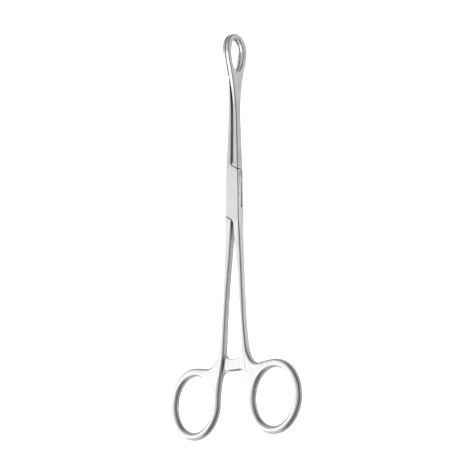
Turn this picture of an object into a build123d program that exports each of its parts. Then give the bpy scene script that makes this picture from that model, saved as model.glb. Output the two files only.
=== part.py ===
from build123d import *
import os

os.makedirs("parts", exist_ok=True)

# ---------------------------------------------------------------------------
# Straight ring-handled sponge holding forceps with a box lock.
# Lengths below are measured from the lock pin: +Y runs to the jaw tips,
# X is across the handles, Z is along the pin.
# ---------------------------------------------------------------------------

# overall layout
TIP = 80.9                 # pin to jaw tip
RING_X = 26.2              # finger ring centre, across
RING_Y = -101.5            # finger ring centre, along
RING_A = 14.55             # finger ring centreline, half width
RING_B = 15.65             # finger ring centreline, half length
RING_TUBE = 1.95           # finger ring limb radius
JAW_HALF = 6.65            # oval jaw, half width

PIN_Y = (-(RING_Y - RING_B - RING_TUBE) - TIP) / 2.0   # pin ahead of the middle of the box
MID_Z = JAW_HALF                                       # the instrument lies on its jaws

# lock
LOCK_HALF = 2.10           # half thickness at the lock
TONGUE_HALF = 0.70         # half thickness of the tongue
SLOT_HALF = 0.78           # half height of the slot in the box
TONGUE_SIDE = 4.00         # half width of the tongue
TONGUE_R = 8.55            # rounded ends of the tongue, about the pin
ROOT_R = 8.75              # rounded roots of the box, about the pin
PIN_R = 1.30               # rivet radius
BORE_R = 1.34              # bore in the tongue, a running fit
SHOULDER_IN = 13.9         # shoulder line: distance along Y at the centre
SHOULDER_OUT = 11.5        # shoulder line: distance along Y at X = 3.75
SHOULDER_GAP = 0.35        # open line at each shoulder with the jaws shut

# jaws
JAW_GAP = 0.05             # half the gap between the serration crests
WINDOW_LOW = 61.6          # narrow end of the window
WINDOW_HIGH = 78.3         # round end of the window
WINDOW_MID = 71.2          # widest place of the window
WINDOW_HALF = 3.95         # half width of the window
TOOTH_PITCH = 1.25         # cross serrations
TOOTH_DEPTH = 0.36
TOOTH_FIRST = 58.6
TOOTH_COUNT = 17

# ratchet
BAR_INNER = 0.05           # the two bars pass each other at the middle plane
BAR_OUTER = 1.90           # outer face of a bar
RATCHET_PITCH = 1.45
RATCHET_DEPTH = 0.55
RATCHET_COUNT = 5
RATCHET_FIRST = -4.0

FLAT = Plane(origin=(0, PIN_Y, MID_Z), x_dir=(1, 0, 0), z_dir=(0, 0, 1))
SIDE = Plane(origin=(0, PIN_Y, MID_Z), x_dir=(0, 1, 0), z_dir=(1, 0, 0))
LENGTH_AXIS = Axis(origin=(0, PIN_Y, MID_Z), direction=(0, 1, 0))


def across(y):
    """Plane square to the instrument at distance y from the pin: local x = X, local y = Z."""
    return Plane(origin=(0, PIN_Y + y, MID_Z), x_dir=(1, 0, 0), z_dir=(0, -1, 0))


# Handle limb on the +X side: (y, inner x, outer x, half height, corner radius)
SHANK = [
    (-14.9, 0.60, 4.46, 2.03, 0.72),
    (-20.0, 0.95, 4.70, 1.93, 0.90),
    (-28.5, 1.75, 5.12, 1.78, 0.95),
    (-41.0, 3.20, 5.80, 1.74, 0.95),
    (-53.0, 4.32, 6.42, 1.77, 0.95),
    (-65.0, 5.20, 7.36, 1.85, 1.00),
    (-77.0, 5.95, 8.65, 1.92, 1.10),
    (-84.0, 6.90, 10.90, 1.95, 1.30),
    (-91.0, 8.60, 13.00, 1.95, 1.70),
    (-97.0, 9.75, 13.60, 1.95, 1.85),
]
# Jaw arm on the +X side
ARM = [
    (15.2, 0.78, 3.78, 2.03, 0.60),
    (20.0, 0.76, 3.52, 1.98, 0.66),
    (27.0, 0.75, 3.22, 1.87, 0.70),
    (37.0, 0.75, 2.84, 1.82, 0.70),
    (46.0, 0.66, 2.46, 2.25, 0.58),
]
# Side of the lock block across both halves: (x, y) from its rear end to its front end
BLOCK = [(4.56, -16.0), (4.22, 0.0), (3.82, 16.0)]
BLOCK_EDGE = 0.60          # rounding of its four long edges

# Oval jaw seen from the side: half widths along the instrument
OVAL = [(45.9, 2.25), (52.0, 2.78), (57.4, 3.72), (62.6, 4.85), (67.6, 6.10),
        (71.8, JAW_HALF), (76.2, 6.00), (79.4, 3.85), (TIP, 0.0)]
# Jaw thickness seen from above: outer face
JAW_BACK = [(45.9, 2.46), (52.0, 2.34), (58.0, 2.25), (64.0, 2.17), (70.0, 2.10), (76.0, 2.02), (83.0, 1.90)]


# ---------------------------------------------------------------------------
# Oval jaw blank with its window and cross serrations, on the +X side
# ---------------------------------------------------------------------------
with BuildPart() as oval_blank:
    with BuildSketch(SIDE):
        with BuildLine():
            Spline(OVAL, tangents=[(1, 0.02), (0, -1)])
            Spline([(y, -z) for y, z in OVAL], tangents=[(1, -0.02), (0, 1)])
            Line((OVAL[0][0], OVAL[0][1]), (OVAL[0][0], -OVAL[0][1]))
        make_face()
    extrude(amount=4)
    with BuildSketch(FLAT):
        with BuildLine():
            Spline([(x, y) for y, x in JAW_BACK])
            Polyline(
                (JAW_BACK[0][1], JAW_BACK[0][0]), (0.66, JAW_BACK[0][0]), (0.42, 53.0),
                (JAW_GAP, 58.6), (JAW_GAP, 83.0), (JAW_BACK[-1][1], JAW_BACK[-1][0]),
            )
        make_face()
    extrude(amount=9, both=True, mode=Mode.INTERSECT)
    rim = [e for e in oval_blank.edges() if e.center().X > 1.2 and e.center().Y > PIN_Y + 50 and e.length > 10]
    fillet(rim, 0.52)
    with BuildSketch(SIDE):
        with BuildLine():
            EllipticalCenterArc((WINDOW_MID, 0), WINDOW_MID - WINDOW_LOW, WINDOW_HALF, start_angle=90, arc_size=180)
            EllipticalCenterArc((WINDOW_MID, 0), WINDOW_HIGH - WINDOW_MID, WINDOW_HALF, start_angle=270, arc_size=180)
        make_face()
    extrude(amount=4, mode=Mode.SUBTRACT)
    sill = [
        e for e in oval_blank.edges()
        if e.center().X > 1.2 and abs(e.center().Z - MID_Z) < 4.6
        and e.center().Y > PIN_Y + 60 and e.center().Y < PIN_Y + 79 and e.length > 8
    ]
    fillet(sill, 0.25)
    # cross serrations on the gripping face
    with BuildSketch(FLAT):
        for i in range(TOOTH_COUNT):
            y0 = TOOTH_FIRST + i * TOOTH_PITCH
            with BuildLine():
                Polyline(
                    (JAW_GAP - 0.2, y0), (JAW_GAP, y0), (JAW_GAP + TOOTH_DEPTH, y0 + TOOTH_PITCH / 2),
                    (JAW_GAP, y0 + TOOTH_PITCH), (JAW_GAP - 0.2, y0 + TOOTH_PITCH), close=True,
                )
            make_face()
    extrude(amount=9, both=True, mode=Mode.SUBTRACT)

# ---------------------------------------------------------------------------
# Jaw arm with the oval, on the +X side
# ---------------------------------------------------------------------------
with BuildPart() as jaw_blank:
    for y, xi, xo, zh, r in ARM:
        with BuildSketch(across(y)):
            with Locations(((xi + xo) / 2, 0)):
                RectangleRounded(xo - xi, 2 * zh, r)
    loft()
    add(oval_blank.part)

# ---------------------------------------------------------------------------
# Web where the shank runs into the finger ring, on the +X side
# ---------------------------------------------------------------------------
with BuildPart() as web_blank:
    with BuildSketch(FLAT):
        with BuildLine():
            Spline([(7.9, -76.0), (9.9, -80.6), (12.6, -83.7), (16.3, -84.8), (20.5, -84.5), (25.6, -83.95)])
            Polyline((25.6, -83.95), (25.6, -85.9))
            Spline([(25.6, -85.9), (20.0, -87.4), (15.6, -90.9), (12.9, -95.6)])
            Polyline((12.9, -95.6), (10.9, -95.6), (8.2, -88.0), (7.2, -83.0), (6.9, -76.0), (7.9, -76.0))
        make_face()
    extrude(amount=1.93, both=True)
    brow = [e for e in web_blank.edges() if e.length > 17 and e.center().Y > PIN_Y - 86 and abs(e.center().Z - MID_Z) > 1.5]
    fillet(brow, 0.95)

# ---------------------------------------------------------------------------
# Finger ring, shank and front ratchet bar, on the +X side
# ---------------------------------------------------------------------------
with BuildPart() as handle_blank:
    with BuildLine(FLAT) as ring_line:
        EllipticalCenterArc((RING_X, RING_Y), RING_A, RING_B, start_angle=0, arc_size=180)
        EllipticalCenterArc((RING_X, RING_Y), RING_A, RING_B, start_angle=180, arc_size=180)
    with BuildSketch(Plane(origin=ring_line.line @ 0, z_dir=ring_line.line % 0)):
        Circle(RING_TUBE)
    sweep(path=ring_line.line)
    for y, xi, xo, zh, r in SHANK:
        with BuildSketch(across(y)):
            with Locations(((xi + xo) / 2, 0)):
                RectangleRounded(xo - xi, 2 * zh, r)
    loft()
    add(web_blank.part)
    # ratchet bar
    with BuildSketch(FLAT.offset(BAR_INNER)):
        with BuildLine():
            Spline(
                [(6.5, -78.6), (5.3, -80.6), (2.6, -81.5), (-0.4, -81.7), (-2.5, -81.3), (-3.8, -80.6)],
            )
            Polyline((-3.8, -80.6), (-4.5, -83.4), (-5.1, -86.8))
            Spline(
                [(-5.1, -86.8), (-1.0, -86.95), (3.0, -86.9), (6.6, -86.9), (9.6, -88.6)],
            )
            Polyline((9.6, -88.6), (9.6, -80.0), (6.5, -78.6))
        make_face()
    extrude(amount=BAR_OUTER - BAR_INNER)
    # ratchet teeth, on the face towards the other bar
    with BuildSketch(across(-79.0)):
        for i in range(RATCHET_COUNT):
            x0 = RATCHET_FIRST + i * RATCHET_PITCH
            with BuildLine():
                Polyline(
                    (x0, BAR_INNER - 0.2), (x0, BAR_INNER + RATCHET_DEPTH),
                    (x0 + RATCHET_PITCH, BAR_INNER), (x0 + RATCHET_PITCH, BAR_INNER - 0.2), close=True,
                )
            make_face()
    extrude(amount=9, mode=Mode.SUBTRACT)

# ---------------------------------------------------------------------------
# Lock block: two flat cheeks, slightly bowed sides, rounded long edges
# ---------------------------------------------------------------------------
with BuildPart() as lock_blank:
    with BuildSketch(FLAT):
        with BuildLine():
            ThreePointArc(*BLOCK)
            Line(BLOCK[-1], (-BLOCK[-1][0], BLOCK[-1][1]))
            ThreePointArc(*[(-x, y) for x, y in reversed(BLOCK)])
            Line((-BLOCK[0][0], BLOCK[0][1]), BLOCK[0])
        make_face()
    extrude(amount=LOCK_HALF, both=True)
    fillet([e for e in lock_blank.edges() if e.length > 30], BLOCK_EDGE)

# ---------------------------------------------------------------------------
# Half 1: handle on the +X side, box of the lock, jaw on the -X side
# ---------------------------------------------------------------------------
with BuildPart() as female_half:
    add(lock_blank.part)
    # room for the other half beyond the two shoulders
    with BuildSketch(FLAT):
        with BuildLine():
            Polyline(
                (-0.72, 20.0), (-0.72, SHOULDER_IN + 1.0), (-0.30, SHOULDER_IN - 0.1),
                (0.0, SHOULDER_IN - SHOULDER_GAP), (5.2, SHOULDER_OUT - SHOULDER_GAP - 0.93),
                (8.0, 20.0), close=True,
            )
        make_face()
        with BuildLine():
            Polyline(
                (0.42, -20.0), (0.30, -SHOULDER_IN + 0.1),
                (0.0, -SHOULDER_IN + SHOULDER_GAP), (-5.2, -SHOULDER_OUT + SHOULDER_GAP + 0.93),
                (-8.0, -20.0), close=True,
            )
        make_face()
    extrude(amount=6, both=True, mode=Mode.SUBTRACT)
    add(handle_blank.part)
    add(jaw_blank.part.rotate(LENGTH_AXIS, 180))
    # slot through the box for the tongue, round at the two roots
    with BuildSketch(FLAT):
        Circle(ROOT_R)
        with BuildLine():
            Polyline((-0.22, 0), (-0.22, 19.0), (6.0, 19.0), (6.0, 0), close=True)
        make_face()
        with BuildLine():
            Polyline((0.22, 0), (0.22, -19.0), (-6.0, -19.0), (-6.0, 0), close=True)
        make_face()
    extrude(amount=SLOT_HALF, both=True, mode=Mode.SUBTRACT)
    # rivet bore through both cheeks
    with BuildSketch(FLAT):
        Circle(PIN_R)
    extrude(amount=6, both=True, mode=Mode.SUBTRACT)

# ---------------------------------------------------------------------------
# Half 2: handle on the -X side, tongue through the box, jaw on the +X side
# ---------------------------------------------------------------------------
with BuildPart() as male_half:
    add(lock_blank.part)
    add(handle_blank.part.rotate(LENGTH_AXIS, 180))
    add(jaw_blank.part)
    # only the parts beyond the two shoulders keep the full thickness
    with BuildSketch(FLAT):
        with BuildLine():
            Polyline(
                (-8.0, 20.0), (0.74, 20.0), (0.74, SHOULDER_IN + 1.1), (0.10, SHOULDER_IN + 0.1),
                (0.10, SHOULDER_IN - 0.06), (5.2, SHOULDER_OUT - 0.93), (8.0, SHOULDER_OUT - 2.72),
                (8.0, -20.0), (-0.42, -20.0), (-0.30, -SHOULDER_IN - 0.2),
                (-0.10, -SHOULDER_IN + 0.06), (-5.2, -SHOULDER_OUT + 0.93), (-8.0, -SHOULDER_OUT + 2.72),
                close=True,
            )
        make_face()
    extrude(amount=6, both=True, mode=Mode.SUBTRACT)
    # tongue: round hub and two arms
    with BuildSketch(FLAT):
        Circle(TONGUE_R)
        Rectangle(2 * TONGUE_SIDE, 40, mode=Mode.INTERSECT)
        with BuildLine():
            Polyline((-0.10, 0), (-0.10, 13.3), (0.95, 15.5), (3.45, 15.5), (TONGUE_SIDE, 7.0), (TONGUE_SIDE, 0), close=True)
        make_face()
        with BuildLine():
            Polyline((0.10, 0), (0.10, -13.3), (-0.75, -15.5), (-3.55, -15.5), (-TONGUE_SIDE, -7.0), (-TONGUE_SIDE, 0), close=True)
        make_face()
        Circle(BORE_R, mode=Mode.SUBTRACT)
    extrude(amount=TONGUE_HALF, both=True)

# ---------------------------------------------------------------------------
# Flush rivet of the lock
# ---------------------------------------------------------------------------
with BuildPart() as box_lock_pin:
    with BuildSketch(FLAT):
        Circle(PIN_R)
    extrude(amount=LOCK_HALF, both=True)

female_half.part.label = "female_half"
male_half.part.label = "male_half"
box_lock_pin.part.label = "box_lock_pin"

export_step(female_half.part, "parts/female_half.step")
export_step(male_half.part, "parts/male_half.step")
export_step(box_lock_pin.part, "parts/box_lock_pin.step")
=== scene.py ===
import math

import bpy
import numpy as np
from mathutils import Matrix, Vector


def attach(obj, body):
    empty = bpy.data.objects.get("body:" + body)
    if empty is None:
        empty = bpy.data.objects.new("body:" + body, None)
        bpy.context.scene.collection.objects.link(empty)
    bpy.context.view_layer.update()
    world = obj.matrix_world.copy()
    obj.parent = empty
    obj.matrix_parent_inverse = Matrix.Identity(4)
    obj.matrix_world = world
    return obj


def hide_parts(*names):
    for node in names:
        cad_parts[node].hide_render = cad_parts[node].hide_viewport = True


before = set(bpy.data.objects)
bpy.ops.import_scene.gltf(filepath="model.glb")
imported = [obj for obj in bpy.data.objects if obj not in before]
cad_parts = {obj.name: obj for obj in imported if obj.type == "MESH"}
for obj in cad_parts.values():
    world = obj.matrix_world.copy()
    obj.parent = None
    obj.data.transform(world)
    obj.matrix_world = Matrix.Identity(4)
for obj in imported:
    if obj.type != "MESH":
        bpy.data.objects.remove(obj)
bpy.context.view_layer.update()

# ---------------------------------------------------------------------------
# Lengths are in millimetres from the lock pin (X across, Y towards the jaw
# tips, Z along the pin) until a mesh is written, in metres, in the part's frame.
# ---------------------------------------------------------------------------
PIN_Y = 19.1
MID_Z = 6.65

TIP = 80.9
RING_X, RING_Y = 26.2, -101.5
RING_A, RING_B, RING_TUBE = 14.55, 15.65, 1.95
LOCK_HALF = 2.10
TONGUE_HALF, SLOT_HALF = 0.70, 0.78
TONGUE_SIDE, TONGUE_R, ROOT_R = 4.00, 8.55, 8.75
PIN_R, BORE_R = 1.30, 1.34
SHOULDER_IN, SHOULDER_OUT, SHOULDER_GAP = 13.9, 11.5, 0.35
JAW_GAP = 0.05
TOOTH_PITCH, TOOTH_DEPTH, TOOTH_FIRST, TOOTH_COUNT = 1.25, 0.36, 58.6, 17
BAR_INNER, BAR_OUTER = 0.05, 1.90
RATCHET_PITCH, RATCHET_DEPTH, RATCHET_COUNT, RATCHET_FIRST = 1.45, 0.55, 5, -4.0


# ---------------------------------------------------------------------------
# Outlines
# ---------------------------------------------------------------------------
def smooth_line(points, step=0.25, closed=False):
    """A centripetal Catmull-Rom curve through the points, about one point per step."""
    p = np.array(points, float)
    if closed:
        p = np.vstack([p[-1], p, p[0], p[1]])
    else:
        p = np.vstack([2 * p[0] - p[1], p, 2 * p[-1] - p[-2]])
    out = []
    for i in range(1, len(p) - 2):
        p0, p1, p2, p3 = p[i - 1], p[i], p[i + 1], p[i + 2]
        t0 = 0.0
        t1 = t0 + max(np.linalg.norm(p1 - p0), 1e-6) ** 0.5
        t2 = t1 + max(np.linalg.norm(p2 - p1), 1e-6) ** 0.5
        t3 = t2 + max(np.linalg.norm(p3 - p2), 1e-6) ** 0.5
        n = max(2, int(np.linalg.norm(p2 - p1) / step))
        for t in np.linspace(t1, t2, n, endpoint=False):
            a1 = (t1 - t) / (t1 - t0) * p0 + (t - t0) / (t1 - t0) * p1
            a2 = (t2 - t) / (t2 - t1) * p1 + (t - t1) / (t2 - t1) * p2
            a3 = (t3 - t) / (t3 - t2) * p2 + (t - t2) / (t3 - t2) * p3
            b1 = (t2 - t) / (t2 - t0) * a1 + (t - t0) / (t2 - t0) * a2
            b2 = (t3 - t) / (t3 - t1) * a2 + (t - t1) / (t3 - t1) * a3
            out.append((t2 - t) / (t2 - t1) * b1 + (t - t1) / (t2 - t1) * b2)
    if not closed:
        out.append(p[-2])
    return np.array(out)


def polygon_distance(x, y, poly):
    """Signed distance to a closed polygon, negative inside."""
    q = np.stack([x.ravel(), y.ravel()], 1)
    a = np.asarray(poly, float)
    b = np.roll(a, -1, axis=0)
    e = b - a
    ee = np.maximum((e * e).sum(1), 1e-12)
    best = np.full(len(q), 1e9)
    inside = np.zeros(len(q), bool)
    for lo in range(0, len(q), 20000):
        part = q[lo : lo + 20000]
        w = part[:, None, :] - a[None]
        t = np.clip((w * e[None]).sum(2) / ee[None], 0, 1)
        d = w - t[..., None] * e[None]
        best[lo : lo + 20000] = np.sqrt((d * d).sum(2).min(1))
        above = part[:, 1, None] >= a[None, :, 1]
        below = part[:, 1, None] < b[None, :, 1]
        cross = e[None, :, 0] * w[..., 1] - e[None, :, 1] * w[..., 0]
        up = above & below & (cross > 0)
        down = ~above & ~below & (cross < 0)
        inside[lo : lo + 20000] = (up.sum(1) - down.sum(1)) != 0
    return np.where(inside, -best, best).reshape(x.shape)


class Outline:
    """A closed outline's signed distance, kept on a grid and read with a smooth cubic."""

    def __init__(self, loops, low, high, step=0.3):
        self.low, self.step = np.array(low, float), step
        nx = int((high[0] - low[0]) / step) + 4
        ny = int((high[1] - low[1]) / step) + 4
        gx = low[0] + step * (np.arange(nx) - 1)
        gy = low[1] + step * (np.arange(ny) - 1)
        xx, yy = np.meshgrid(gx, gy, indexing="ij")
        d = polygon_distance(xx, yy, loops[0])
        for hole in loops[1:]:
            d = np.maximum(d, -polygon_distance(xx, yy, hole))
        self.d = d

    def __call__(self, x, y):
        fx = (x - self.low[0]) / self.step + 1
        fy = (y - self.low[1]) / self.step + 1
        nx, ny = self.d.shape
        fx = np.clip(fx, 1.0, nx - 2.001)
        fy = np.clip(fy, 1.0, ny - 2.001)
        ix, iy = fx.astype(int), fy.astype(int)
        tx, ty = fx - ix, fy - iy

        def weights(t):
            return (
                ((-0.5 * t + 1.0) * t - 0.5) * t,
                (1.5 * t - 2.5) * t * t + 1.0,
                ((-1.5 * t + 2.0) * t + 0.5) * t,
                (0.5 * t - 0.5) * t * t,
            )

        wx, wy = weights(tx), weights(ty)
        out = 0.0
        for i in range(4):
            row = 0.0
            for j in range(4):
                row = row + wy[j] * self.d[ix + i - 1, iy + j - 1]
            out = out + wx[i] * row
        return out


class Table:
    """A smooth function of one variable through a few points."""

    def __init__(self, points):
        line = smooth_line(points, 0.2)
        keep = np.concatenate([[True], np.diff(line[:, 0]) > 1e-9])
        line = line[keep]
        self.x = np.arange(line[0, 0], line[-1, 0], 0.25)
        raw = np.interp(self.x, line[:, 0], line[:, 1])
        kernel = np.array([1, 4, 6, 4, 1.0]) / 16
        self.y = np.convolve(np.pad(raw, 2, mode="edge"), kernel, mode="valid")

    def __call__(self, t):
        f = np.clip((t - self.x[0]) / 0.25, 0, len(self.x) - 1.001)
        i = f.astype(int)
        u = f - i
        y = self.y
        n = len(y) - 1
        a, b = y[np.maximum(i - 1, 0)], y[i]
        c, d = y[np.minimum(i + 1, n)], y[np.minimum(i + 2, n)]
        return b + 0.5 * u * (c - a + u * (2 * a - 5 * b + 4 * c - d + u * (3 * (b - c) + d - a)))


# half width of the closed pair, across
WIDE = Table([(-30, 5.20), (-28.5, 5.12), (-20, 4.70), (-15, 4.52), (-8, 4.38), (0, 4.22), (8, 4.08), (15, 3.80),
              (20, 3.52), (27, 3.22), (37, 2.84), (46, 2.46), (52, 2.34), (58, 2.25), (64, 2.17), (70, 2.10),
              (76, 2.02), (84, 1.88)])
# inner face of a jaw arm
INNER = Table([(8, 0.10), (13.7, 0.10), (14.2, 0.32), (15.1, 0.74), (20, 0.76), (27, 0.75), (37, 0.75), (46, 0.66),
               (53, 0.42), (57.6, 0.13), (58.6, 0.05), (60, 0.05), (84, 0.05)])
# half thickness of the flat part: handles, lock and jaw arms
THICK = Table([(-122, 1.95), (-84, 1.95), (-77, 1.93), (-65, 1.86), (-53, 1.78), (-41, 1.75), (-28.5, 1.80),
               (-20, 1.95), (-15.5, 2.07), (-14.0, 2.10), (0, 2.10), (14.0, 2.10), (15.5, 2.06), (20, 1.98),
               (27, 1.88), (37, 1.83), (46, 2.25), (60, 5.0)])
# edge rounding of the handle
HANDLE_ROUND = Table([(-122, 1.86), (-99, 1.86), (-93, 1.74), (-88, 1.45), (-83, 1.22), (-77, 1.12), (-65, 1.04),
                      (-53, 0.99), (-28, 1.00), (-20, 0.92), (-16, 0.78), (-8, 0.62)])


def ellipse(a, b, n=400, turn=0.0):
    t = np.linspace(0, 2 * math.pi, n, endpoint=False) + turn
    return np.stack([RING_X + a * np.cos(t), RING_Y + b * np.sin(t)], 1)


def handle_outline():
    inner = smooth_line([
        (0.20, -13.2), (0.26, -13.9), (0.60, -15.0), (0.95, -20.0), (1.75, -28.5), (3.20, -41.0), (4.35, -53.0),
        (5.25, -65.0), (5.95, -77.0), (6.75, -83.0), (7.75, -88.0), (8.85, -93.0), (9.50, -97.5), (9.70, -101.5),
    ])
    ring = ellipse(RING_A + RING_TUBE, RING_B + RING_TUBE)
    ang = np.degrees(np.arctan2(ring[:, 1] - RING_Y, ring[:, 0] - RING_X)) % 360
    order = np.argsort((ang - 180) % 360)
    ring, ang = ring[order], (ang[order] - 180) % 360
    ring = ring[(ang > 4) & (ang < 268)]
    outer = smooth_line([
        tuple(ring[-1]), (22.6, -84.15), (19.0, -84.65), (15.6, -84.75), (12.6, -83.4), (10.35, -80.6), (9.05, -77.5),
        (8.12, -72.0), (7.36, -65.0), (6.42, -53.0), (5.80, -41.0), (5.12, -28.5), (4.70, -20.0), (4.52, -15.0),
        (4.44, -11.0), (4.38, -8.0),
    ])
    return np.vstack([inner, ring, outer[1:], [(0.20, -8.0)]])


HANDLE = Outline([handle_outline(), ellipse(RING_A - RING_TUBE, RING_B - RING_TUBE)], (-2, -122), (45, -6))

BAR = Outline([np.vstack([
    smooth_line([(7.0, -76.6), (6.0, -79.2), (4.6, -80.9), (2.3, -81.6), (-0.4, -81.7), (-2.4, -81.35), (-3.75, -80.7)]),
    smooth_line([(-4.05, -80.9), (-4.5, -83.4), (-4.95, -86.3)], 0.3),
    smooth_line([(-4.75, -86.75), (-1.0, -86.95), (3.0, -86.9), (5.9, -87.0), (7.4, -87.7), (9.0, -89.2)]),
    [(9.8, -89.2), (9.30, -87.6), (8.55, -84.5), (7.75, -80.2), (7.30, -76.9)],
])], (-8, -94), (13, -73), 0.2)


def oval_outline():
    pts = [(8.0, 2.10), (14.0, 2.10), (15.5, 2.06), (20, 1.98), (27, 1.88), (37, 1.84), (42, 1.95), (47.0, 2.28),
           (52.0, 2.82), (57.4, 3.72), (62.6, 4.86), (67.4, 6.05), (71.6, 6.63), (75.6, 6.20), (78.6, 4.72),
           (80.35, 2.55), (80.9, 0.0)]
    upper = smooth_line(pts)
    lower = upper[::-1][1:] * np.array([1, -1])
    return np.vstack([upper, lower])


def window_outline():
    """Two half ellipses: a long one towards the lock, a short one towards the tip."""
    t = np.linspace(0, 2 * math.pi, 360, endpoint=False)
    reach = np.where(np.cos(t) < 0, 71.2 - 61.6, 78.3 - 71.2)
    return np.stack([71.2 + reach * np.cos(t), 3.95 * np.sin(t)], 1)


OVAL = Outline([oval_outline()], (6, -9), (84, 9), 0.25)
WINDOW = Outline([window_outline()], (58, -6), (81, 6), 0.2)


# ---------------------------------------------------------------------------
# Solid fields: negative inside
# ---------------------------------------------------------------------------
def round_max(a, b, r):
    return np.minimum(np.maximum(a, b), -r) + np.sqrt(np.maximum(a + r, 0) ** 2 + np.maximum(b + r, 0) ** 2)


def soft_min(a, b, k):
    h = np.maximum(k - np.abs(a - b), 0) / k
    return np.minimum(a, b) - h * h * k * 0.25


def segment_field(x, y, points):
    """Signed distance to a small closed polygon, exact, for the lock's cuts."""
    return polygon_distance(x, y, np.array(points, float))


slope = (SHOULDER_IN - SHOULDER_OUT) / 3.75
SH_N = np.array([slope, 1.0]) / math.hypot(slope, 1.0)


def above_shoulder(x, y, gap):
    """Distance above the top shoulder line lowered by gap along Y."""
    return (x * SH_N[0] + (y - (SHOULDER_IN - gap)) * SH_N[1])


def handle_field(x, y, z):
    """Handle on the +X side."""
    r = HANDLE_ROUND(y)
    return round_max(HANDLE(x, y), np.abs(z) - THICK(y), r)


def bar_field(x, y, z):
    """Ratchet bar of the handle on the +X side, in front of the middle plane."""
    d = BAR(x, y)
    f = round_max(d, z - BAR_OUTER, 0.38)
    f = round_max(f, BAR_INNER - z, 0.10)
    # saw teeth on the face towards the other bar
    u = (x - RATCHET_FIRST) / RATCHET_PITCH
    k = np.clip(np.floor(u), 0, RATCHET_COUNT - 1)
    ramp = BAR_INNER + RATCHET_DEPTH * (1 - (u - k))
    ramp = np.where((u > 0) & (u < RATCHET_COUNT), ramp, BAR_INNER - 0.3)
    return round_max(f, (ramp - z) * 0.93, 0.06)


def jaw_field(x, y, z):
    """Jaw arm and oval on the +X side."""
    side = OVAL(y, z)
    out_r = np.interp(y, [8, 20, 40, 56, 64, 84], [0.62, 0.72, 0.72, 0.62, 0.55, 0.55])
    in_r = np.interp(y, [13.6, 14.8, 46, 57, 84], [0.12, 0.58, 0.58, 0.12, 0.10])
    outer = x - WIDE(y)
    f = round_max(side, outer, out_r)
    inner = INNER(y) - x
    # cross serrations
    u = (y - TOOTH_FIRST) / TOOTH_PITCH
    tri = 1 - np.abs(2 * (u - np.floor(u)) - 1)
    groove = TOOTH_DEPTH * np.clip(tri, 0.06, 0.97)
    groove = np.where((u > 0) & (u < TOOTH_COUNT), groove, 0.0)
    inner = (inner + groove) * np.where(groove > 0, 0.87, 1.0)
    f = round_max(f, inner, in_r)
    hole = WINDOW(y, z)
    hole_r = np.interp(x, [0.5, 1.0], [0.10, 0.55])
    return round_max(f, -hole, hole_r)


def block_field(x, y, z):
    return round_max(np.abs(x) - WIDE(y), np.abs(z) - THICK(y), 0.62)


def slot_field(x, y, z):
    disc = np.hypot(x, y) - ROOT_R
    upper = segment_field(x, y, [(-0.22, 0), (-0.22, 19.0), (6.5, 19.0), (6.5, 0)])
    lower = segment_field(x, y, [(0.22, 0), (0.22, -19.0), (-6.5, -19.0), (-6.5, 0)])
    return np.maximum(np.minimum(np.minimum(disc, upper), lower), np.abs(z) - SLOT_HALF)


def only(where, field, x, y, z):
    """The field where it matters, and far outside elsewhere."""
    out = np.full(x.shape, 9.0)
    if where.any():
        out[where] = field(x[where], y[where], z[where])
    return out


def cheeks_field(x, y, z):
    """The slotted block with the room it leaves beyond its two shoulders."""
    lock = np.maximum(block_field(x, y, z), np.abs(y) - 14.6)
    cut_top = segment_field(x, y, [
        (-0.72, 20.0), (-0.72, SHOULDER_IN + 1.0), (-0.30, SHOULDER_IN - 0.1), (0.0, SHOULDER_IN - SHOULDER_GAP),
        (5.2, SHOULDER_OUT - SHOULDER_GAP - 0.93), (8.0, 20.0)])
    cut_low = segment_field(x, y, [
        (0.42, -20.0), (0.26, -SHOULDER_IN + 0.1), (0.0, -SHOULDER_IN + SHOULDER_GAP),
        (-5.2, -SHOULDER_OUT + SHOULDER_GAP + 0.93), (-8.0, -20.0)])
    return round_max(lock, -np.minimum(cut_top, cut_low), 0.26)


def tongue_field(x, y, z):
    tongue = np.maximum(np.hypot(x, y) - TONGUE_R, np.abs(x) - TONGUE_SIDE)
    arm_a = segment_field(x, y, [(-0.10, 0), (-0.10, 13.3), (0.95, 15.5), (3.45, 15.5), (TONGUE_SIDE, 7.0), (TONGUE_SIDE, 0)])
    arm_b = segment_field(x, y, [(0.10, 0), (0.10, -13.3), (-0.75, -15.5), (-3.55, -15.5), (-TONGUE_SIDE, -7.0), (-TONGUE_SIDE, 0)])
    tongue = np.minimum(tongue, np.minimum(arm_a, arm_b))
    tongue = round_max(tongue, np.abs(z) - TONGUE_HALF, 0.07)
    return np.maximum(tongue, BORE_R - np.hypot(x, y))


def female_field(x, y, z):
    f = only(np.abs(y) < 15.6, cheeks_field, x, y, z)
    f = np.minimum(f, only(y < -10.0, lambda a, b, c: np.maximum(handle_field(a, b, c), b + 11.0), x, y, z))
    f = np.minimum(f, only((y > 12.9) & (x < 1.5), lambda a, b, c: np.maximum(jaw_field(-a, b, c), 13.9 - b), x, y, z))
    near = (np.abs(y) < 20.5) & (np.abs(z) < 1.8)
    if near.any():
        a, b, c = x[near], y[near], z[near]
        g = round_max(f[near], -slot_field(a, b, c), 0.07)
        f[near] = np.maximum(g, PIN_R - np.hypot(a, b))
    near = (np.hypot(x, y) < 2.4) & (np.abs(z) >= 1.8)
    f[near] = np.maximum(f[near], PIN_R - np.hypot(x[near], y[near]))
    bar = (y < -74.0) & (y > -93.5)
    f[bar] = soft_min(f[bar], bar_field(x[bar], y[bar], z[bar]), 0.55)
    return f


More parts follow.
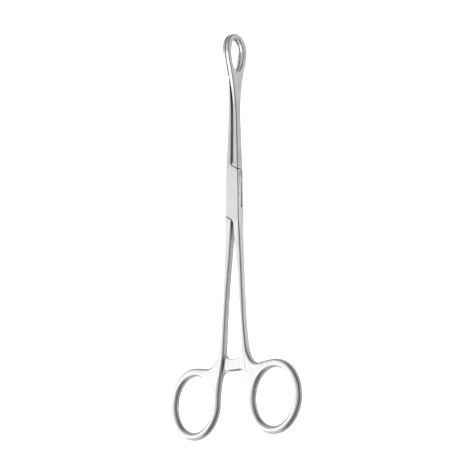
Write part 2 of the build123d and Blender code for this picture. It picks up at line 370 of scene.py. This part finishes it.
def male_field(x, y, z):
    f = only((y > 8.0) & (x > -1.5), lambda a, b, c: round_max(
        np.maximum(jaw_field(a, b, c), 9.0 - b), -above_shoulder(a, b, 0.0), 0.26), x, y, z)
    f = np.minimum(f, only((y < -8.0) & (x < 1.5), lambda a, b, c: round_max(
        handle_field(-a, b, c), -above_shoulder(-a, -b, 0.0), 0.26), x, y, z))
    f = np.minimum(f, only((np.abs(y) < 17.0) & (np.abs(z) < 1.8), tongue_field, x, y, z))
    bar = (y < -74.0) & (y > -93.5)
    lower = y[bar] + 0.45 * np.clip((-82.5 - y[bar]) / 3.0, 0, 1)
    f[bar] = soft_min(f[bar], bar_field(-x[bar], lower, -z[bar]), 0.55)
    return f


# ---------------------------------------------------------------------------
# Field to mesh
# ---------------------------------------------------------------------------
BLOCK = 4


def in_parts(field, x, y, z, part=150000):
    out = np.empty(x.shape)
    for lo in range(0, len(x), part):
        s = slice(lo, lo + part)
        out[s] = field(x[s], y[s], z[s])
    return out


def mesh_of(field, zones, low, high, step):
    """A closed quad mesh of the field's zero surface, with its exact normals.
    zones are boxes that together hold the whole surface."""
    low, step = np.array(low, float), np.array(step, float)
    n = np.ceil((np.array(high) - low) / step).astype(int) + 1
    grid = np.full(n, 5.0, np.float32)
    axes = [low[i] + step[i] * np.arange(n[i]) for i in range(3)]
    for a, b in zones:
        cut = []
        for i in range(3):
            lo = max(0, int(np.floor((a[i] - low[i]) / step[i])))
            hi = min(n[i], int(np.ceil((b[i] - low[i]) / step[i])) + 1)
            cut.append(slice(lo, hi))
        # a coarse look first, then every point of the blocks near the surface
        first = [c.start for c in cut]
        blocks = [int(np.ceil((c.stop - c.start) / BLOCK)) for c in cut]
        mid = [low[i] + step[i] * (first[i] + BLOCK * np.arange(blocks[i]) + (BLOCK - 1) / 2) for i in range(3)]
        x, y, z = np.meshgrid(*mid, indexing="ij")
        f = in_parts(field, x.ravel(), y.ravel(), z.ravel()).reshape(x.shape)
        reach = 1.25 * BLOCK * np.linalg.norm(step) / 2 + 0.15
        near = np.argwhere(np.abs(f) < reach)
        deep = np.argwhere(f <= -reach)
        for b0 in deep:
            lo = [first[i] + BLOCK * b0[i] for i in range(3)]
            hi = [min(lo[i] + BLOCK, cut[i].stop) for i in range(3)]
            grid[lo[0] : hi[0], lo[1] : hi[1], lo[2] : hi[2]] = -5.0
        k = np.arange(BLOCK)
        oi, oj, ok = [v.ravel() for v in np.meshgrid(k, k, k, indexing="ij")]
        gi = (first[0] + BLOCK * near[:, 0])[:, None] + oi
        gj = (first[1] + BLOCK * near[:, 1])[:, None] + oj
        gk = (first[2] + BLOCK * near[:, 2])[:, None] + ok
        gi, gj, gk = gi.ravel(), gj.ravel(), gk.ravel()
        ok_ = (gi < cut[0].stop) & (gj < cut[1].stop) & (gk < cut[2].stop)
        gi, gj, gk = gi[ok_], gj[ok_], gk[ok_]
        grid[gi, gj, gk] = in_parts(field, axes[0][gi], axes[1][gj], axes[2][gk])
    inside = grid < 0
    corners = [(i, j, k) for i in (0, 1) for j in (0, 1) for k in (0, 1)]
    count = np.zeros(n - 1, np.int8)
    for i, j, k in corners:
        count += inside[i : n[0] - 1 + i, j : n[1] - 1 + j, k : n[2] - 1 + k]
    cells = np.argwhere((count > 0) & (count < 8))
    ids = np.full(n - 1, -1, np.int32)
    ids[tuple(cells.T)] = np.arange(len(cells))
    total = np.zeros((len(cells), 3))
    hits = np.zeros(len(cells))
    for axis in range(3):
        for c in corners:
            if c[axis]:
                continue
            d = list(c)
            d[axis] = 1
            fa = grid[tuple((cells + c).T)]
            fb = grid[tuple((cells + d).T)]
            m = (fa < 0) != (fb < 0)
            t = fa[m] / (fa[m] - fb[m])
            p = np.tile(np.array(c, float), (m.sum(), 1))
            p[:, axis] = t
            total[m] += p
            hits[m] += 1
    points = low + step * (cells + total / hits[:, None])
    quads = []
    for axis in range(3):
        u, v = (axis + 1) % 3, (axis + 2) % 3
        m = n.copy()
        m[axis] -= 1
        a = inside[: m[0], : m[1], : m[2]]
        shift = [0, 0, 0]
        shift[axis] = 1
        b = inside[shift[0] :, shift[1] :, shift[2] :]
        b = b[: m[0], : m[1], : m[2]]
        e = np.argwhere(a != b)
        e = e[(e[:, u] > 0) & (e[:, v] > 0) & (e[:, u] < n[u] - 1) & (e[:, v] < n[v] - 1)]
        out_of = a[tuple(e.T)]
        du, dv = np.zeros(3, int), np.zeros(3, int)
        du[u], dv[v] = 1, 1
        q = np.stack([ids[tuple((e - du - dv).T)], ids[tuple((e - dv).T)], ids[tuple(e.T)], ids[tuple((e - du).T)]], 1)
        q[~out_of] = q[~out_of][:, ::-1]
        quads.append(q)
    quads = np.vstack(quads)
    quads = quads[(quads >= 0).all(1)]

    def gradient(p, h):
        g = np.empty_like(p)
        for i in range(3):
            d = np.zeros(3)
            d[i] = h
            a, b = p + d, p - d
            g[:, i] = (in_parts(field, *a.T) - in_parts(field, *b.T)) / (2 * h)
        return g

    start = points.copy()
    g = gradient(points, 0.03)
    for turn in range(3):
        f = in_parts(field, *points.T)
        move = f[:, None] * g / np.maximum((g * g).sum(1), 0.25)[:, None]
        points = points - np.clip(move, -0.08, 0.08)
        if turn == 1:
            g = gradient(points, 0.02)
    drift = points - start
    far = np.linalg.norm(drift, axis=1) > 0.75 * step.max()
    points[far] = start[far]
    g = gradient(points, 0.07)
    normals = g / np.maximum(np.linalg.norm(g, axis=1), 1e-9)[:, None]
    return points, quads, normals


def piece(name, field, zones, low, high, step):
    p, q, nrm = mesh_of(field, zones, low, high, step)
    p = (p + np.array([0.0, PIN_Y, MID_Z])) * 0.001
    me = bpy.data.meshes.new(name)
    me.from_pydata(p.tolist(), [], q.tolist())
    me.validate()
    me.polygons.foreach_set("use_smooth", [True] * len(me.polygons))
    me.normals_split_custom_set_from_vertices(nrm.tolist())
    me.update()
    ob = bpy.data.objects.new(name, me)
    bpy.context.scene.collection.objects.link(ob)
    print(name, "vertices", len(p), "faces", len(q))
    return ob


STEP = (0.22, 0.26, 0.22)
female = piece(
    "female_half_forging", female_field,
    [((-0.5, -120.0, -2.4), (43.5, -73.0, 2.4)), ((-6.0, -92.0, -2.4), (2.0, -74.0, 2.4)),
     ((-5.0, -75.0, -2.6), (10.5, 17.5, 2.6)), ((-5.0, 12.0, -7.2), (0.6, 81.6, 7.2))],
    (-6.5, -120.2, -7.4), (43.6, 82.0, 7.4), STEP,
)
male = piece(
    "male_half_forging", male_field,
    [((-43.5, -120.0, -2.4), (0.5, -73.0, 2.4)), ((-2.0, -92.0, -2.4), (6.0, -74.0, 2.4)),
     ((-10.5, -75.0, -2.6), (5.0, 17.5, 2.6)), ((-0.6, 8.0, -7.2), (5.0, 81.6, 7.2))],
    (-43.6, -120.2, -7.4), (6.5, 82.0, 7.4), STEP,
)


# ---------------------------------------------------------------------------
# Materials
# ---------------------------------------------------------------------------
def steel(name, base=(0.58, 0.585, 0.59), rough=0.26):
    """Satin-polished stainless steel: cloudy tone, long polishing grain, a few cross
    scratches, tiny pits, brighter worn edges, and painted shade: corners darkened and dulled by an occlusion mask."""
    m = bpy.data.materials.new(name)
    m.use_nodes = True
    nt = m.node_tree
    nt.nodes.clear()
    out = nt.nodes.new("ShaderNodeOutputMaterial")
    b = nt.nodes.new("ShaderNodeBsdfPrincipled")
    nt.links.new(b.outputs[0], out.inputs[0])
    b.inputs["Metallic"].default_value = 1.0
    tc = nt.nodes.new("ShaderNodeTexCoord")

    def noise(scale, detail, stretch, turn=0.0, rough_=0.6):
        mp = nt.nodes.new("ShaderNodeMapping")
        mp.inputs["Scale"].default_value = stretch
        src = tc.outputs["Object"]
        if turn:
            first = nt.nodes.new("ShaderNodeMapping")
            first.inputs["Rotation"].default_value = (0.0, 0.0, math.radians(turn))
            nt.links.new(src, first.inputs[0])
            src = first.outputs[0]
        nt.links.new(src, mp.inputs[0])
        nz = nt.nodes.new("ShaderNodeTexNoise")
        nz.inputs["Scale"].default_value = scale
        nz.inputs["Detail"].default_value = detail
        nz.inputs["Roughness"].default_value = rough_
        nt.links.new(mp.outputs[0], nz.inputs["Vector"])
        return nz.outputs["Fac"]

    def ramp(fac, lo, hi, a, c):
        r = nt.nodes.new("ShaderNodeMapRange")
        r.inputs["From Min"].default_value = lo
        r.inputs["From Max"].default_value = hi
        r.inputs["To Min"].default_value = a
        r.inputs["To Max"].default_value = c
        nt.links.new(fac, r.inputs["Value"])
        return r.outputs["Result"]

    def math_node(kind, a, c):
        n = nt.nodes.new("ShaderNodeMath")
        n.operation = kind
        for i, v in enumerate((a, c)):
            if isinstance(v, (int, float)):
                n.inputs[i].default_value = v
            else:
                nt.links.new(v, n.inputs[i])
        return n.outputs[0]

    def mix_colour(fac, a, c):
        n = nt.nodes.new("ShaderNodeMix")
        n.data_type = "RGBA"
        nt.links.new(fac, n.inputs["Factor"])
        for key, v in (("A", a), ("B", c)):
            if isinstance(v, tuple):
                n.inputs[key].default_value = (*v, 1)
            else:
                nt.links.new(v, n.inputs[key])
        return n.outputs["Result"]

    cloud = noise(60.0, 4.0, (1, 1, 1))
    patch = noise(260.0, 3.0, (1, 0.45, 1))
    brush = noise(1300.0, 4.0, (1.0, 0.04, 1.0))
    fine = noise(4200.0, 2.0, (1.0, 0.25, 1.0))
    scratch = math_node("MAXIMUM",
                        ramp(noise(1500.0, 1.0, (1.0, 0.035, 1.0), 17.0), 0.70, 0.75, 0, 1),
                        ramp(noise(1300.0, 1.0, (1.0, 0.03, 1.0), -31.0), 0.71, 0.76, 0, 1))
    pits = ramp(noise(6500.0, 1.0, (1, 1, 1)), 0.76, 0.82, 0, 1)
    geo = nt.nodes.new("ShaderNodeNewGeometry")
    edge = ramp(geo.outputs["Pointiness"], 0.505, 0.545, 0, 1)
    edge = math_node("MULTIPLY", edge, ramp(patch, 0.35, 0.62, 0.25, 1.0))
    # painted shade: an ambient-occlusion mask picks out corners, slots and gaps so their colour can be darkened
    shade_ao = nt.nodes.new("ShaderNodeAmbientOcclusion")
    shade_ao.samples = 6
    shade_ao.inputs["Distance"].default_value = 0.0034
    painted_corner_shade = ramp(shade_ao.outputs["AO"], 0.22, 0.78, 1, 0)

    dull = tuple(c * 0.93 for c in base)
    bright = tuple(min(1.0, c * 1.06) for c in base)
    colour = mix_colour(ramp(cloud, 0.35, 0.65, 0, 1), dull, bright)
    colour = mix_colour(ramp(brush, 0.42, 0.72, 0, 0.38), colour, tuple(c * 0.82 for c in base))
    colour = mix_colour(ramp(edge, 0, 1, 0, 0.35), colour, tuple(min(1.0, c * 1.22) for c in base))
    colour = mix_colour(ramp(scratch, 0, 1, 0, 0.60), colour, tuple(c * 0.74 for c in base))
    colour = mix_colour(ramp(pits, 0, 1, 0, 0.60), colour, tuple(c * 0.55 for c in base))
    # painted shade: colour in corners and gaps is mixed towards near-black
    colour = mix_colour(ramp(painted_corner_shade, 0, 1, 0, 0.72), colour, (0.095, 0.093, 0.090))
    nt.links.new(colour, b.inputs["Base Color"])

    r = math_node("ADD", ramp(brush, 0.3, 0.7, rough - 0.06, rough + 0.06), ramp(cloud, 0.3, 0.7, -0.03, 0.03))
    r = math_node("ADD", r, ramp(patch, 0.35, 0.65, -0.02, 0.02))
    r = math_node("ADD", r, ramp(scratch, 0, 1, 0, 0.10))
    r = math_node("ADD", r, ramp(edge, 0, 1, 0, -0.07))
    # roughness is raised in the same painted-shade corners
    r = math_node("ADD", r, ramp(painted_corner_shade, 0, 1, 0, 0.14))
    nt.links.new(r, b.inputs["Roughness"])

    h = math_node("ADD", brush, math_node("MULTIPLY", fine, 0.8))
    h = math_node("SUBTRACT", h, math_node("MULTIPLY", scratch, 0.9))
    h = math_node("SUBTRACT", h, math_node("MULTIPLY", pits, 1.2))
    bump = nt.nodes.new("ShaderNodeBump")
    bump.inputs["Strength"].default_value = 0.20
    bump.inputs["Distance"].default_value = 0.00003
    nt.links.new(h, bump.inputs["Height"])
    nt.links.new(bump.outputs[0], b.inputs["Normal"])
    return m


satin = steel("satin_stainless")
rivet = steel("rivet_stainless", (0.56, 0.565, 0.57), 0.28)
for ob in (female, male):
    ob.data.materials.append(satin)
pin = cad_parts["box_lock_pin"]
if pin.data.materials:
    pin.data.materials[0] = rivet
else:
    pin.data.materials.append(rivet)

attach(female, "female_body")
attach(male, "male_body")
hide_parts("female_half")
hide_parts("male_half")

# ---------------------------------------------------------------------------
# Floor, light, camera
# ---------------------------------------------------------------------------
me = bpy.data.meshes.new("floor")
me.from_pydata([(-3, -3, 0), (3, -3, 0), (3, 3, 0), (-3, 3, 0)], [], [(0, 1, 2, 3)])
floor = bpy.data.objects.new("floor", me)
bpy.context.scene.collection.objects.link(floor)
fm = bpy.data.materials.new("floor_white")
fm.use_nodes = True
fb = fm.node_tree.nodes["Principled BSDF"]
fb.inputs["Base Color"].default_value = (0.8, 0.8, 0.8, 1)
fb.inputs["Roughness"].default_value = 0.9
fb.inputs["Emission Color"].default_value = (1, 1, 1, 1)
fb.inputs["Emission Strength"].default_value = 0.9
me.materials.append(fm)
floor.visible_glossy = False

# one broad soft light from the left and above, strongest over the handles, a lit table below,
# and a darker room around the horizon on the right
world = bpy.data.worlds.new("studio")
bpy.context.scene.world = world
world.use_nodes = True
wt = world.node_tree
wt.nodes.clear()
w_out = wt.nodes.new("ShaderNodeOutputWorld")
w_bg = wt.nodes.new("ShaderNodeBackground")
wt.links.new(w_bg.outputs[0], w_out.inputs[0])
w_co = wt.nodes.new("ShaderNodeTexCoord")
w_xyz = wt.nodes.new("ShaderNodeSeparateXYZ")
wt.links.new(w_co.outputs["Generated"], w_xyz.inputs[0])


def w_step(axis, a, b, lo=0.0, hi=1.0):
    r = wt.nodes.new("ShaderNodeMapRange")
    r.interpolation_type = "SMOOTHSTEP"
    r.inputs["From Min"].default_value = a
    r.inputs["From Max"].default_value = b
    r.inputs["To Min"].default_value = lo
    r.inputs["To Max"].default_value = hi
    wt.links.new(w_xyz.outputs[axis], r.inputs["Value"])
    return r.outputs["Result"]


def w_math(kind, a, b):
    n = wt.nodes.new("ShaderNodeMath")
    n.operation = kind
    for i, v in enumerate((a, b)):
        if isinstance(v, (int, float)):
            n.inputs[i].default_value = v
        else:
            wt.links.new(v, n.inputs[i])
    return n.outputs[0]


SKY = dict(base=0.20, top=0.78, left=0.76, key=1.15, table=1.15)
w_top = w_step("Z", 0.50, 0.88)
w_left = w_math("MULTIPLY", w_step("X", 0.1, -0.5), w_step("Z", -0.70, -0.10))
w_sky = w_math("MAXIMUM", w_math("MULTIPLY", w_top, SKY["top"]), w_math("MULTIPLY", w_left, SKY["left"]))
w_sky = w_math("MULTIPLY", w_sky, w_step("Y", 0.30, 0.85, 1.0, 0.5))
w_key = w_math("MULTIPLY", w_left, w_step("Y", 0.27, 0.04))
w_low = w_step("Y", -0.12, -0.55, 1.0, 0.40)
w_table = w_math("MULTIPLY", w_step("Z", -0.20, -0.70), w_step("Z", -0.82, -1.0, 1.0, 0.3))
w_table = w_math("MULTIPLY", w_table, w_math("MULTIPLY", w_step("Y", 0.06, 0.20, 0.45, 1.0), w_step("Y", 0.24, 0.34, 1.0, 0.5)))
w_all = w_math("ADD", w_sky, w_math("MULTIPLY", w_key, SKY["key"]))
w_all = w_math("MULTIPLY", w_all, w_low)
w_all = w_math("ADD", w_all, SKY["base"])
w_all = w_math("ADD", w_all, w_math("MULTIPLY", w_table, SKY["table"]))
wt.links.new(w_all, w_bg.inputs["Strength"])
w_bg.inputs["Color"].default_value = (1, 1, 1, 1)

# camera of the photograph
D, ROLL, PITCH = 830.0, math.radians(44.0), math.radians(-11.7)
FOCAL = 2.049 * D
U0, V0 = 234.4, 192.85
cr, sr, cp, sp = math.cos(ROLL), math.sin(ROLL), math.cos(PITCH), math.sin(PITCH)
Ry = np.array([[cr, 0, -sr], [0, 1, 0], [sr, 0, cr]])
Rx = np.array([[1, 0, 0], [0, cp, -sp], [0, sp, cp]])
R = Rx @ Ry
off = np.array([(U0 - 237.5) / FOCAL * D, -(V0 - 237.5) / FOCAL * D, 0.0])
C = R.T @ (np.array([0, 0, D]) - off) + np.array([0, PIN_Y, MID_Z])
cam_data = bpy.data.cameras.new("camera")
cam_data.sensor_width = 36.0
cam_data.lens = FOCAL / 475.0 * 36.0
cam_data.clip_end = 10.0
cam = bpy.data.objects.new("camera", cam_data)
m4 = Matrix.Identity(4)
for i in range(3):
    for j in range(3):
        m4[i][j] = R.T[i][j]
    m4[i][3] = C[i] * 0.001
cam.matrix_world = m4
bpy.context.scene.collection.objects.link(cam)
bpy.context.scene.camera = cam
bpy.context.scene.view_settings.view_transform = "Standard"
